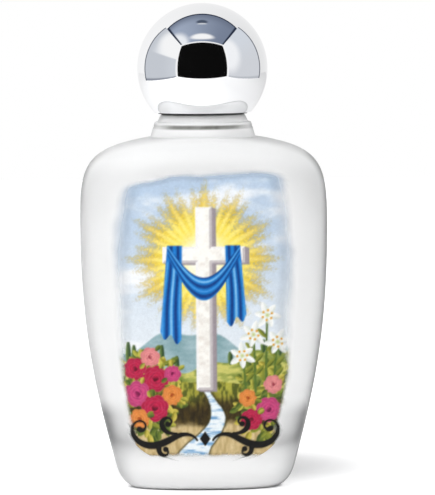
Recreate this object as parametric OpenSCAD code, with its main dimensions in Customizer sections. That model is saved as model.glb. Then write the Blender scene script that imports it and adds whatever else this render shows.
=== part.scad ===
// Frosted glass holy water bottle with a mirror-chrome ball cap that screws onto its neck.
// Millimetres. The bottle stands on z = 0, centred on the Z axis, with its printed front towards -Y.

/* [Body] */
// Width of the body at its widest level
body_w = 57; // [50:0.2:66]
// Depth of the body at its widest level
body_d = 36.5; // [32:0.5:42]
// Height of the body, from the resting face to the foot of the collar
body_h = 80.8; // [76:0.1:92]
// Height of the widest level
widest_z = 61.5; // [54:0.5:66]
// Width of the body at the top of the heel curve
base_w = 41.2; // [36:0.2:48]
// Depth of the body at the top of the heel curve
base_d = 28; // [25:0.5:32]
// Height of the heel curve
heel_h = 5; // [4:0.5:7]
// Width of the resting face
foot_w = 31; // [27:0.5:35]
// Depth of the resting face
foot_d = 18; // [15:0.5:21]
// Lean of the sides where they leave the heel, in degrees
side_lean = 15; // [8:0.5:20]
// Squareness of the body's section: 2 is an ellipse and larger is squarer
section_n = 2.5; // [2:0.1:3.4]

/* [Glass] */
// Thickness of the glass wall
wall = 3; // [2:0.1:4]
// Thickness of the glass under the cavity
floor_t = 9; // [7:0.5:14]
// Radius of the cavity's lower edge
cavity_heel = 4; // [2:0.5:5]
// Depth of the recess in the resting face
punt_depth = 1; // [0.4:0.1:2]
// Width of the ring that the bottle stands on
foot_ring = 3; // [2:0.1:4]

/* [Neck] */
// Diameter of the collar at its foot, on the shoulder
collar_d = 24.2; // [23.4:0.1:25.4]
// Diameter that the collar's side narrows to at its top
collar_top_d = 22.2; // [21.8:0.1:23]
// Height of the collar
collar_h = 3.5; // [2.6:0.1:5]
// Radius of the collar's upper edge
collar_round = 0.5; // [0.3:0.1:0.8]
// Radius of the hollow fillet between the collar and the shoulder
collar_fillet = 0.6; // [0.4:0.1:1]
// Diameter of the ring under the cap, at its top
ring_d = 19.3; // [18.6:0.1:20]
// Diameter of that ring at its foot, on the collar
ring_foot_d = 20.9; // [20.2:0.1:21.2]
// Height of the ring above the collar
ring_h = 1.7; // [1.2:0.1:3]
// Diameter of the threaded neck between its threads
neck_d = 15.6; // [14.8:0.1:16.4]
// Diameter over the neck's thread
thread_d = 17.7; // [17.2:0.1:18.2]
// Rise of the thread in one turn
thread_pitch = 3.175; // [2.8:0.025:3.4]
// Turns of thread on the glass
thread_turns = 1.5; // [1.2:0.05:1.8]
// Height of the thread's first end above the ring
thread_start = 2.5; // [2.3:0.1:3]
// Plain land between the thread's last end and the lip
lip_land = 2.4; // [2.3:0.1:3]
// Radius of the lip's edges
lip_round = 0.6; // [0.3:0.1:0.9]
// Bore of the neck
bore_d = 10; // [8:0.2:11]

/* [Cap] */
// Diameter of the ball
ball_d = 30; // [29:0.2:36]
// Wall of the chromed shell
shell_wall = 1.6; // [1.2:0.1:2.2]
// Width of the shell's rim round its mouth, on the flat underside
rim_w = 0.74; // [0.5:0.02:1.2]
// Gap between the ring of the neck and the underside of the cap
cap_gap = 0.4; // [0.3:0.05:1]
// Wall of the insert behind its thread
insert_wall = 1.15; // [0.9:0.05:1.4]
// Thickness of the insert's roof
insert_roof = 1.2; // [0.8:0.1:2]
// Gap between the ring of the neck and the insert's lower edge
insert_gap = 0.15; // [0.1:0.01:0.3]
// Turns of thread in the insert
insert_turns = 1.25; // [1:0.05:1.3]
// Number of fins that centre the insert in the crown of the ball
fin_count = 6; // [4:1:10]
// Thickness of a fin
fin_t = 1; // [0.8:0.1:1.6]
// Thickness of the sealing liner
liner_t = 1.4; // [1:0.1:2]
// Reach of the bead that holds the liner, measured in from the liner's edge
bead_reach = 0.4; // [0.2:0.05:0.5]
// Height of that bead
bead_h = 1; // [0.6:0.1:1.2]

/* [Transfer] */
// Thickness of the printed transfer
film_t = 0.1; // [0.05:0.01:0.2]
// Height of the transfer's lower edge
film_bottom = 7; // [7:0.5:12]
// Height of the transfer's upper edge
film_top = 74; // [66:0.5:75]
// Margin between the transfer and the outline of the body, seen from the front
film_margin = 4.5; // [3.5:0.1:8]
// Radius of the transfer's corners, seen from the front
film_corner = 9; // [4:0.5:12]

/* [Fits] */
// Radial play between the thread's crests and the wall that faces them
thread_play = 0.25; // [0.15:0.01:0.3]
// Gap between the insert and the shell that it is pressed into
press_gap = 0.05; // [0.02:0.01:0.1]
// Play round the edge of the sealing liner, and under it at the bead
liner_play = 0.3; // [0.2:0.05:0.4]
// Layer of adhesive between the transfer and the glass
film_gap = 0.1; // [0.08:0.01:0.15]

/* [Hidden] */
$fn = 96;

// Fineness of the lofted glass: sides of a section, and rings along each stretch of its outline
sides = 64;
heel_steps = 5;
side_steps = 11;
shoulder_steps = 14;
cavity_steps = 10;
cavity_heel_steps = 4;
film_columns = 24;
film_rows = 22;
ridge_steps = 36;

// A cut runs past the face that it opens by this much
over = 1;
// A ridge or a collar is rooted this deep in the wall that carries it
root = 0.4;
// The shoulder ends on a narrow ledge round the fillet of the collar
shoulder_ledge = 0.2;

// Heights up the neck and the cap
collar_top = body_h + collar_h;
ring_top = collar_top + ring_h;
thread_z = ring_top + thread_start;
lip_z = thread_z + thread_turns * thread_pitch + lip_land;
cap_z = ring_top + cap_gap;
roof_z = lip_z + liner_t;
roof_top = roof_z + insert_roof;

// Radii of the neck and the cap
neck_r = neck_d / 2;
crest_r = thread_d / 2;
bore_r = bore_d / 2;
collar_r = collar_d / 2;
collar_lean = atan((collar_d - collar_top_d) / 2 / collar_h);
collar_foot_r = collar_r + collar_fillet * (1 - sin(collar_lean)) / cos(collar_lean);
shoulder_top_r = collar_foot_r + shoulder_ledge;
insert_bore_r = crest_r + thread_play;
insert_r = insert_bore_r + insert_wall;
liner_r = insert_bore_r - liner_play;
mouth_r = insert_r + press_gap;
ball_r = ball_d / 2;
crown_r = ball_r - shell_wall;
ball_z = cap_z + sqrt(pow(ball_r, 2) - pow(mouth_r + rim_w, 2));

// Form of the thread, in shares of its pitch: the ridge on the glass and the ridge in the insert
glass_ridge_root = 0.6 * thread_pitch;
glass_ridge_crest = 0.28 * thread_pitch;
insert_ridge_root = 0.46 * thread_pitch;
insert_ridge_crest = 0.2 * thread_pitch;
// Part of a turn over which a ridge rises out of its wall
ridge_fade = 0.12;

// Outline of the body: three stretches, each a cubic curve with its own heights, half widths and half
// depths, so that one parameter gives all three
heel_pull = 0.55;
heel_lean_rise = heel_h / 2;
lean = tan(side_lean);
side_start_pull = 0.32;
side_end_pull = 0.45;
shoulder_start_pull = 0.66;
shoulder_end_pull = 0.92;
shoulder_slope = 0.16;
depth_lean = 0.5 * lean;
shoulder_run = body_w / 2 - shoulder_top_r;
side_rise = widest_z - heel_h;
shoulder_rise = body_h - widest_z;
heel_curve = [
    [0, 0, heel_h - heel_lean_rise, heel_h],
    heel_reach(foot_w / 2, base_w / 2, lean),
    heel_reach(foot_d / 2, base_d / 2, depth_lean),
];
side_curve = [
    [heel_h, heel_h + side_start_pull * side_rise, widest_z - side_end_pull * side_rise, widest_z],
    side_reach(base_w / 2, body_w / 2, lean),
    side_reach(base_d / 2, body_d / 2, depth_lean),
];
shoulder_curve = [
    [
        widest_z,
        widest_z + shoulder_start_pull * shoulder_rise,
        body_h - shoulder_slope * shoulder_end_pull * shoulder_run,
        body_h,
    ],
    shoulder_reach(body_w / 2),
    shoulder_reach(body_d / 2),
];

// Outline of the cavity's shoulder, which closes in to the bore at the foot of the collar
cavity_top_r = bore_r - root;
cavity_top_z = body_h;
cavity_end_pull = 0.8;
cavity_slope = 0.26;
cavity_run = body_w / 2 - wall - cavity_top_r;
cavity_curve = [
    [
        widest_z,
        widest_z + shoulder_start_pull * (shoulder_rise - wall),
        cavity_top_z - cavity_slope * cavity_end_pull * cavity_run,
        cavity_top_z,
    ],
    cavity_reach(body_w / 2 - wall),
    cavity_reach(body_d / 2 - wall),
];

function heel_reach(foot, base, slope) =
    [foot, foot + heel_pull * (base - foot), base - slope * heel_lean_rise, base];

function side_reach(base, widest, slope) =
    [base, base + slope * side_start_pull * side_rise, widest, widest];

function shoulder_reach(widest) =
    [
        widest,
        widest,
        shoulder_top_r + shoulder_end_pull * (widest - shoulder_top_r),
        shoulder_top_r,
    ];

function cavity_reach(widest) =
    [widest, widest, cavity_top_r + cavity_end_pull * (widest - cavity_top_r), cavity_top_r];

// Point of a cubic curve with the four given values
function cubic(p, t) =
    pow(1 - t, 3) * p[0] + 3 * pow(1 - t, 2) * t * p[1] + 3 * (1 - t) * pow(t, 2) * p[2] + pow(t, 3) * p[3];

// One ring of a loft: its height, half width, half depth and squareness
function ring_at(curve, t, n) = [cubic(curve[0], t), cubic(curve[1], t), cubic(curve[2], t), n];

// The section turns from the body's squareness to a circle on the way up the shoulder
function shoulder_n(t) = section_n + (2 - section_n) * t * t * (3 - 2 * t);

// Parameter at which a curve reaches a height, by halving
function t_at(curve, z, low = 0, high = 1, left = 24) =
    let (mid = (low + high) / 2)
    left == 0 ? mid
    : cubic(curve[0], mid) < z ? t_at(curve, z, mid, high, left - 1)
    : t_at(curve, z, low, mid, left - 1);

// The body's ring at a height above its heel
function body_ring(z) =
    z < widest_z ? ring_at(side_curve, t_at(side_curve, z), section_n)
    : let (t = t_at(shoulder_curve, z)) ring_at(shoulder_curve, t, shoulder_n(t));

function inset_ring(r, by) = [r[0], r[1] - by, r[2] - by, r[3]];

function outer_rings() = concat(
    [for (i = [0:heel_steps]) ring_at(heel_curve, i / heel_steps, section_n)],
    [for (i = [1:side_steps]) ring_at(side_curve, i / side_steps, section_n)],
    [
        for (i = [1:shoulder_steps])
            let (t = i / shoulder_steps) ring_at(shoulder_curve, t, shoulder_n(t))
    ]
);

function cavity_heel_ring(share) =
    let (z = floor_t + cavity_heel * (1 - cos(90 * share)))
    inset_ring(body_ring(z), wall + cavity_heel * (1 - sin(90 * share)));

function cavity_rings() =
    let (first = t_at(side_curve, floor_t + cavity_heel))
    concat(
        [for (i = [0:cavity_heel_steps]) cavity_heel_ring(i / cavity_heel_steps)],
        [
            for (i = [1:cavity_steps])
                let (t = first + (1 - first) * i / cavity_steps)
                inset_ring(ring_at(side_curve, t, section_n), wall)
        ],
        [
            for (i = [1:shoulder_steps])
                let (t = i / shoulder_steps) ring_at(cavity_curve, t, shoulder_n(t))
        ]
    );

function signed_pow(v, e) = sign(v) * pow(abs(v), e);

// Plan of a rounded oval with the given half width, half depth and squareness
function oval(w, d, n) = [
    for (i = [0:sides - 1])
        let (a = 360 * i / sides) [w * signed_pow(cos(a), 2 / n), d * signed_pow(sin(a), 2 / n)]
];

// Solid skin over a stack of rings, closed flat at both ends
module loft(rings) {
    last = len(rings) - 1;
    points = [for (r = rings) for (p = oval(r[1], r[2], r[3])) [p[0], p[1], r[0]]];
    skin = [
        for (j = [0:last - 1])
            for (i = [0:sides - 1])
                let (k = (i + 1) % sides, low = j * sides, high = low + sides)
                for (f = [[low + i, high + i, high + k], [low + i, high + k, low + k]]) f
    ];
    bottom = [for (i = [0:sides - 1]) i];
    top = [for (i = [0:sides - 1]) (last + 1) * sides - 1 - i];
    polyhedron(points, concat(skin, [bottom, top]), convexity = 6);
}

// Helical ridge that rises out of a round wall. It points outwards for sense 1 and inwards for sense -1,
// and sinks into the wall at both ends.
module ridge(wall_r, tip_r, root_w, tip_w, z, first_turn, turns, sense) {
    count = ceil(turns * ridge_steps);
    base_r = wall_r - sense * root;
    sunk_r = wall_r - sense * root / 2;
    points = [
        for (i = [0:count])
            let (
                turn = first_turn + turns * i / count,
                rise = min(1, (turn - first_turn) / ridge_fade, (first_turn + turns - turn) / ridge_fade),
                r = sunk_r + (tip_r - sunk_r) * rise,
                a = 360 * turn,
                level = z + thread_pitch * turn
            )
            for (p = [[base_r, -root_w], [r, -tip_w], [r, tip_w], [base_r, root_w]])
                [p[0] * cos(a), p[0] * sin(a), level + sense * p[1] / 2]
    ];
    skin = [
        for (i = [0:count - 1])
            for (k = [0:3])
                let (a = 4 * i + k, b = 4 * i + (k + 1) % 4)
                for (f = [[a, b, b + 4], [a, b + 4, a + 4]]) f
    ];
    ends = [[0, 3, 2, 1], [for (k = [0:3]) 4 * count + k]];
    polyhedron(points, concat(skin, ends), convexity = 8);
}

// Half section of the collar: a leaning side with a rounded upper edge, and a hollow fillet to the shoulder
module collar_section() {
    top = root + collar_h;
    edge_z = top - collar_round;
    edge_r = collar_r - (edge_z - root) * tan(collar_lean) - collar_round / cos(collar_lean);
    polygon([
        [0, 0],
        [collar_r, 0],
        [collar_r, root],
        [edge_r + collar_round * cos(collar_lean), edge_z + collar_round * sin(collar_lean)],
        [edge_r, top],
        [0, top],
    ]);
    translate([edge_r, edge_z]) circle(collar_round);
    difference() {
        square([collar_foot_r, root + collar_fillet * (1 - sin(collar_lean))]);
        translate([collar_foot_r, root + collar_fillet]) circle(collar_fillet);
    }
}

// Half section of the ring, which flares towards the collar
module ring_section() {
    polygon([
        [0, 0],
        [ring_foot_d / 2, 0],
        [ring_foot_d / 2, root],
        [ring_d / 2, root + ring_h],
        [0, root + ring_h],
    ]);
}

// Half section of the threaded neck, with rounded edges at its lip
module finish_section() {
    square([neck_r, lip_z - collar_top - lip_round]);
    square([neck_r - lip_round, lip_z - collar_top]);
    translate([neck_r - lip_round, lip_z - collar_top - lip_round]) circle(lip_round);
}

module neck() {
    rotate_extrude() {
        translate([0, body_h - root]) collar_section();
        translate([0, collar_top - root]) ring_section();
        translate([0, collar_top]) finish_section();
    }
    ridge(neck_r, crest_r, glass_ridge_root, glass_ridge_crest, thread_z, 0, thread_turns, 1);
}

module glass_bottle() {
    color([0.9, 0.93, 0.94])
        difference() {
            union() {
                loft(outer_rings());
                neck();
            }
            loft(cavity_rings());
            translate([0, 0, body_h - root]) cylinder(h = lip_z - body_h + root + over, r = bore_r);
            translate([0, 0, -over])
                linear_extrude(punt_depth + over)
                    polygon(oval(foot_w / 2 - foot_ring, foot_d / 2 - foot_ring, section_n));
        }
}

// Half width of the transfer at a height, with its corners rounded
function film_half(z) =
    let (
        drop = max(0, z - (film_top - film_corner), film_bottom + film_corner - z),
        cut = film_corner - sqrt(pow(film_corner, 2) - pow(drop, 2))
    )
    body_ring(z)[1] - film_margin - cut;

// Point on the front of the body, at a given distance off the glass
function front_point(x, z, off) =
    let (r = inset_ring(body_ring(z), -off))
    [x, -r[2] * pow(1 - pow(abs(x) / r[1], r[3]), 1 / r[3]), z];

module front_transfer() {
    rows = film_rows;
    across = film_columns + 1;
    layer = across * (rows + 1);
    points = [
        for (off = [film_gap, film_gap + film_t])
            for (j = [0:rows])
                let (
                    share = (1 - cos(180 * j / rows)) / 2,
                    z = film_bottom + (film_top - film_bottom) * share,
                    half = film_half(z)
                )
                for (i = [0:film_columns]) front_point(half * (2 * i / film_columns - 1), z, off)
    ];
    face = [
        for (j = [0:rows - 1])
            for (i = [0:film_columns - 1])
                let (a = j * across + i, b = a + across)
                for (f = [[a, b, b + 1], [a, b + 1, a + 1]]) f
    ];
    rim = concat(
        [for (i = [0:film_columns]) i],
        [for (j = [1:rows]) j * across + film_columns],
        [for (i = [1:film_columns]) rows * across + film_columns - i],
        [for (j = [1:rows - 1]) (rows - j) * across]
    );
    edge = [
        for (i = [0:len(rim) - 1])
            let (a = rim[i], b = rim[(i + 1) % len(rim)])
            for (f = [[a, a + layer, b + layer], [a, b + layer, b]]) f
    ];
    back = [for (f = face) [f[2], f[1], f[0]]];
    front = [for (f = face) [for (v = f) v + layer]];
    color([0.62, 0.74, 0.88]) polyhedron(points, concat(back, front, edge), convexity = 6);
}

module cap_liner() {
    color([0.96, 0.96, 0.93]) translate([0, 0, lip_z]) cylinder(h = liner_t, r = liner_r);
}

// Plates through the axis, trimmed to the inside of the crown
module fins() {
    intersection() {
        translate([0, 0, ball_z]) sphere(crown_r - press_gap);
        for (i = [0:fin_count - 1])
            rotate(360 * i / fin_count)
                translate([0, -fin_t / 2, roof_top - root]) cube([insert_r, fin_t, ball_r]);
    }
}

// Ring inside the insert that keeps the liner from dropping out
module bead() {
    top = lip_z - liner_play;
    tip = liner_r - bead_reach;
    rotate_extrude()
        polygon([
            [insert_bore_r + root, top],
            [tip, top - bead_h / 2],
            [insert_bore_r + root, top - bead_h],
        ]);
}

module cap_insert() {
    low = ring_top + insert_gap;
    color([0.12, 0.12, 0.12])
        union() {
            difference() {
                translate([0, 0, low]) cylinder(h = roof_top - low, r = insert_r);
                translate([0, 0, low - over]) cylinder(h = roof_z - low + over, r = insert_bore_r);
            }
            ridge(
                insert_bore_r, neck_r + thread_play, insert_ridge_root, insert_ridge_crest,
                thread_z - thread_pitch / 2, thread_turns - insert_turns, insert_turns, -1
            );
            bead();
            fins();
        }
}

module cap_shell() {
    color([0.78, 0.8, 0.83])
        difference() {
            translate([0, 0, ball_z]) sphere(ball_r);
            translate([0, 0, ball_z]) sphere(crown_r);
            translate([0, 0, cap_z - ball_d]) cylinder(h = ball_d, r = ball_d);
            translate([0, 0, cap_z - over]) cylinder(h = ball_z - cap_z + over, r = mouth_r);
        }
}

glass_bottle();
front_transfer();
cap_liner();
cap_insert();
cap_shell();
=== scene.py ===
"""Looks of the holy water bottle: a frosted flask with a printed front and a mirror-chrome ball cap."""

import math

import bpy
import numpy as np
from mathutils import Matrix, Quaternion, Vector


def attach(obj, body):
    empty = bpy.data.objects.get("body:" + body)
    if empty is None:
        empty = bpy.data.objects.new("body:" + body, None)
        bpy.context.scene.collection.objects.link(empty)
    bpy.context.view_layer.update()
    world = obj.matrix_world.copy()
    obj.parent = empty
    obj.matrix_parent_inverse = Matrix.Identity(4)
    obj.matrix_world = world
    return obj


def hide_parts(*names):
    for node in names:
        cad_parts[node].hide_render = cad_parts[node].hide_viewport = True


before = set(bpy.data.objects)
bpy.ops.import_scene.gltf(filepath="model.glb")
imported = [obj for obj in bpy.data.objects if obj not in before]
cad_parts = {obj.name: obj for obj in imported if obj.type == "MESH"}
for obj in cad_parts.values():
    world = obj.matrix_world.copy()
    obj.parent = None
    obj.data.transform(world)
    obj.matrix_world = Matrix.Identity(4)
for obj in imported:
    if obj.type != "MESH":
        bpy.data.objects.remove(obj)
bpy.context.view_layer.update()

# Sizes in millimetres, as in the part's source; the frame is in metres
MM = 0.001
BODY_W, BODY_D, BODY_H, WIDEST_Z = 57.0, 36.5, 80.8, 61.5
BASE_W, BASE_D, HEEL_H = 41.2, 28.0, 5.0
FOOT_W, FOOT_D, SIDE_LEAN, SECTION_N = 31.0, 18.0, 15.0, 2.5
WALL, FLOOR_T, CAVITY_HEEL, PUNT_DEPTH, FOOT_RING = 3.0, 9.0, 4.0, 1.0, 3.0
COLLAR_R, COLLAR_TOP_R, COLLAR_H, COLLAR_ROUND, COLLAR_FILLET = 12.1, 11.1, 3.5, 0.5, 0.6
RING_R, RING_FOOT_R, RING_H, NECK_R, CREST_R, BORE_R = 9.65, 10.45, 1.7, 7.8, 8.85, 5.0
THREAD_PITCH, THREAD_TURNS, THREAD_START, LIP_LAND, LIP_ROUND = 3.175, 1.5, 2.5, 2.4, 0.6
BALL_R, SHELL_WALL, RIM_W, CAP_GAP, MOUTH_R = 15.0, 1.6, 0.74, 0.4, 10.3
LINER_R, LINER_T = 8.8, 1.4
FILM_T, FILM_GAP, FILM_BOTTOM, FILM_TOP, FILM_MARGIN, FILM_CORNER = 0.1, 0.1, 7.0, 74.0, 4.5, 9.0
# Handles of the outline's curves, and the slopes at the ends of the upper two
HEEL_PULL, SIDE_START_PULL, SIDE_END_PULL, SHOULDER_START_PULL = 0.55, 0.32, 0.45, 0.66
SHOULDER_END_PULL, SHOULDER_SLOPE, CAVITY_END_PULL, CAVITY_SLOPE = 0.92, 0.16, 0.8, 0.26
SHOULDER_LEDGE, ROOT = 0.2, 0.4
# Small roundings and flats of the glass
PUNT_ROUND, PUNT_EDGE, FOOT_FLAT, RING_ROUND, NECK_FILLET, BORE_ROUND = 0.45, 0.4, 1.2, 0.25, 0.3, 0.5

COLLAR_TOP = BODY_H + COLLAR_H
RING_TOP = COLLAR_TOP + RING_H
THREAD_Z = RING_TOP + THREAD_START
# The joint on the collar where the moulds of the neck and the body met: its height, depth and half width
JOINT_Z, JOINT_DEEP, JOINT_HALF = BODY_H + 2.43, 0.12, 0.3
LIP_Z = THREAD_Z + THREAD_TURNS * THREAD_PITCH + LIP_LAND
CAP_Z = RING_TOP + CAP_GAP
BALL_Z = CAP_Z + math.sqrt(BALL_R**2 - (MOUTH_R + RIM_W) ** 2)
COLLAR_LEAN = math.atan((COLLAR_R - COLLAR_TOP_R) / COLLAR_H)
COLLAR_FOOT_R = COLLAR_R + COLLAR_FILLET * (1 - math.sin(COLLAR_LEAN)) / math.cos(COLLAR_LEAN)
SHOULDER_TOP_R = COLLAR_FOOT_R + SHOULDER_LEDGE
LEAN = math.tan(math.radians(SIDE_LEAN))
SIDE_RISE, SHOULDER_RISE = WIDEST_Z - HEEL_H, BODY_H - WIDEST_Z
CAVITY_TOP_R = BORE_R - ROOT


def smooth(low, high, value):
    t = np.clip((value - low) / (high - low), 0, 1)
    return t * t * (3 - 2 * t)


def cubic(p, t):
    return (1 - t) ** 3 * p[0] + 3 * (1 - t) ** 2 * t * p[1] + 3 * (1 - t) * t**2 * p[2] + t**3 * p[3]


def heel_reach(foot, base, slope):
    return foot, foot + HEEL_PULL * (base - foot), base - slope * HEEL_H / 2, base


def side_reach(base, widest, slope):
    return base, base + slope * SIDE_START_PULL * SIDE_RISE, widest, widest


def top_curve(inset, end, slope, pull):
    """The outline from the widest level up to a radius, this far inside the body."""
    half_w, half_d = BODY_W / 2 - inset, BODY_D / 2 - inset
    bend_z = WIDEST_Z + SHOULDER_START_PULL * (SHOULDER_RISE - inset)
    return (
        (WIDEST_Z, bend_z, BODY_H - slope * pull * (half_w - end), BODY_H),
        (half_w, half_w, end + pull * (half_w - end), end),
        (half_d, half_d, end + pull * (half_d - end), end),
    )


# Outline of the body in three stretches, and of the cavity's shoulder: heights, half widths, half depths
HEEL = (
    (0, 0, HEEL_H / 2, HEEL_H),
    heel_reach(FOOT_W / 2, BASE_W / 2, LEAN),
    heel_reach(FOOT_D / 2, BASE_D / 2, LEAN / 2),
)
SIDE = (
    (HEEL_H, HEEL_H + SIDE_START_PULL * SIDE_RISE, WIDEST_Z - SIDE_END_PULL * SIDE_RISE, WIDEST_Z),
    side_reach(BASE_W / 2, BODY_W / 2, LEAN),
    side_reach(BASE_D / 2, BODY_D / 2, LEAN / 2),
)
SHOULDER = top_curve(0, SHOULDER_TOP_R, SHOULDER_SLOPE, SHOULDER_END_PULL)
CAVITY = top_curve(WALL, CAVITY_TOP_R, CAVITY_SLOPE, CAVITY_END_PULL)


def curve_at(curve, t):
    """Height, half width and half depth on one stretch of the outline."""
    return [cubic(p, t) for p in curve]


def shoulder_n(t):
    return SECTION_N + (2 - SECTION_N) * smooth(0, 1, t)


def parameter_at(curve, z):
    t, step = 0.5, 0.25
    for _ in range(40):
        t += step if cubic(curve[0], t) < z else -step
        step /= 2
    return t


def body_section(z):
    """Half width, half depth and squareness of the body at a height above its heel."""
    curve = SIDE if z < WIDEST_Z else SHOULDER
    t = parameter_at(curve, z)
    return *curve_at(curve, t)[1:], SECTION_N if z < WIDEST_Z else shoulder_n(t)


def new_object(name, data):
    made = bpy.data.objects.new(name, data)
    bpy.context.scene.collection.objects.link(made)
    return made


def new_piece(name, points, faces, materials, indices=None):
    mesh = bpy.data.meshes.new(name)
    mesh.from_pydata((np.asarray(points) * MM).tolist(), [], faces)
    for m in materials:
        mesh.materials.append(m)
    mesh.shade_smooth()
    if indices is not None:
        mesh.polygons.foreach_set("material_index", indices)
    mesh.validate()
    mesh.update()
    return new_object(name, mesh)


def skin(rings):
    """Points and faces of a closed skin over rings of points, with a point in the middle of each end."""
    rows, count = rings.shape[:2]
    points = np.concatenate([rings.reshape(-1, 3), [rings[0].mean(0), rings[-1].mean(0)]])
    pairs = [(k, (k + 1) % count) for k in range(count)]
    last, start, end = (rows - 1) * count, rows * count, rows * count + 1
    faces = [(start, b, a) for a, b in pairs]
    for low in range(0, last, count):
        high = low + count
        faces += [(low + a, low + b, high + b, high + a) for a, b in pairs]
    return points, faces + [(last + a, last + b, end) for a, b in pairs]


def arc(x, z, r, first, last, count):
    """Points of a profile on an arc, from one angle to another in degrees."""
    a = np.radians(np.linspace(first, last, count))
    return list(zip(x + r * np.cos(a), z + r * np.sin(a)))


def lathe(profile, columns):
    turn = np.arange(columns) * math.tau / columns
    return np.array([[(r * math.cos(a), r * math.sin(a), z) for a in turn] for r, z in profile])


# Columns of the skins. The bottle's are closer together at the mould seams on its two sides
SEAM_HALF, SEAM_H = 0.22, 0.05
COLUMNS, BALL_COLUMNS, LINER_COLUMNS = 176, 144, 96
seam_steps = [s * (y / (BODY_D / 2)) ** (SECTION_N / 2) for y in (0.1, 0.22, 0.36, 0.6) for s in (-1, 1)]
TURNS = np.array(sorted(
    {round(math.tau * k / COLUMNS, 6) for k in range(COLUMNS)}
    | {round((a + middle) % math.tau, 6) for a in seam_steps for middle in (0, math.pi)}
))
COS, SIN = np.cos(TURNS), np.sin(TURNS)


def oval_ring(z, w, d, n=SECTION_N, seam=False):
    """One ring of the bottle's skin. It lies a hair inside its nominal size, which the seams reach."""
    w, d = w - SEAM_H * seam, d - SEAM_H * seam
    x = w * np.sign(COS) * np.abs(COS) ** (2 / n)
    y = d * np.sign(SIN) * np.abs(SIN) ** (2 / n)
    if seam:
        x = x + np.sign(COS) * SEAM_H * np.exp(-((y / SEAM_HALF) ** 2)) * (np.abs(COS) > 0.5)
    return np.stack([x, y, np.full_like(x, z)], 1)


def thread_height(z):
    """How far the thread stands out of the neck in each column, at a height."""
    flank, crest = 0.256 * THREAD_PITCH, 0.14 * THREAD_PITCH
    height = np.zeros(len(TURNS))
    for lap in range(2):
        turn = TURNS / math.tau + lap
        off = np.abs(z - THREAD_Z - THREAD_PITCH * turn)
        rise = np.clip(np.minimum(turn, THREAD_TURNS - turn) / 0.12, 0, 1)
        height = np.maximum(height, smooth(flank, crest, off) * rise)
    return height * (CREST_R - NECK_R)


def round_ring(r, z):
    return np.stack([r * COS, r * SIN, np.full_like(COS, z)], 1)


def bottle_rings():
    """Rings of the glass from the middle of the base, up the outside, over the lip and down the inside."""
    punt_w, punt_d = FOOT_W / 2 - FOOT_RING, FOOT_D / 2 - FOOT_RING
    middle = [(s, PUNT_DEPTH * (1 - 0.12 * s * s)) for s in (0.06, 0.3, 0.55, 0.75, 0.9)]
    rings = [oval_ring(z, s * punt_w, s * punt_d) for s, z in middle]
    punt = arc(-PUNT_ROUND, 0.86 * PUNT_DEPTH - PUNT_ROUND, PUNT_ROUND, 90, 0, 6)
    punt += arc(PUNT_EDGE, PUNT_EDGE, PUNT_EDGE, 180, 270, 5)[1:]
    rings += [oval_ring(z, punt_w + out, punt_d + out) for out, z in punt]
    rings.append(oval_ring(0, FOOT_W / 2 - FOOT_FLAT, FOOT_D / 2 - FOOT_FLAT))
    rings += [oval_ring(*curve_at(HEEL, t), seam=t > 0) for t in np.linspace(0, 1, 15)]
    rings += [oval_ring(*curve_at(SIDE, t), seam=True) for t in np.linspace(0, 1, 47)[1:]]
    rings += [oval_ring(*curve_at(SHOULDER, t), shoulder_n(t), t < 0.95) for t in np.linspace(0, 1, 41)[1:]]
    rings += [round_ring(r, z) for r, z in collar_profile()]
    neck = np.linspace(RING_TOP + NECK_FILLET, LIP_Z - LIP_ROUND, 72)[1:]
    rings += [round_ring(NECK_R + thread_height(z), z) for z in neck]
    lip = arc(NECK_R - LIP_ROUND, LIP_Z - LIP_ROUND, LIP_ROUND, 0, 90, 7)[1:]
    lip += arc(BORE_R + BORE_ROUND, LIP_Z - BORE_ROUND, BORE_ROUND, 90, 180, 6)
    rings += [round_ring(r, z) for r, z in lip]
    outside = len(rings)
    return rings + cavity_rings(), outside


def collar_profile():
    """Half section of the collar and its ring, with the joint of the moulds, up to the neck."""
    lean = math.degrees(COLLAR_LEAN)
    collar = arc(COLLAR_FOOT_R, BODY_H + COLLAR_FILLET, COLLAR_FILLET, 270, 180 + lean, 7)
    for share, deep in ((-1, 0), (-0.5, 0.4), (0, 1), (0.5, 0.4), (1, 0)):
        z = JOINT_Z + share * JOINT_HALF
        collar.append((COLLAR_R - (z - BODY_H) * math.tan(COLLAR_LEAN) - deep * JOINT_DEEP, z))
    edge_z = COLLAR_TOP - COLLAR_ROUND
    edge_r = COLLAR_R - (edge_z - BODY_H) * math.tan(COLLAR_LEAN) - COLLAR_ROUND / math.cos(COLLAR_LEAN)
    collar += arc(edge_r, edge_z, COLLAR_ROUND, lean, 90, 8)
    collar += [(RING_FOOT_R + 0.12, COLLAR_TOP), (RING_FOOT_R + 0.02, COLLAR_TOP + 0.03)]
    collar += [(RING_FOOT_R - 0.07, COLLAR_TOP + 0.12), (RING_R + 0.12, RING_TOP - 0.28)]
    collar += arc(RING_R - RING_ROUND, RING_TOP - RING_ROUND, RING_ROUND, 20, 90, 5)
    return collar + arc(NECK_R + NECK_FILLET, RING_TOP + NECK_FILLET, NECK_FILLET, 270, 180, 4)


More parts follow.
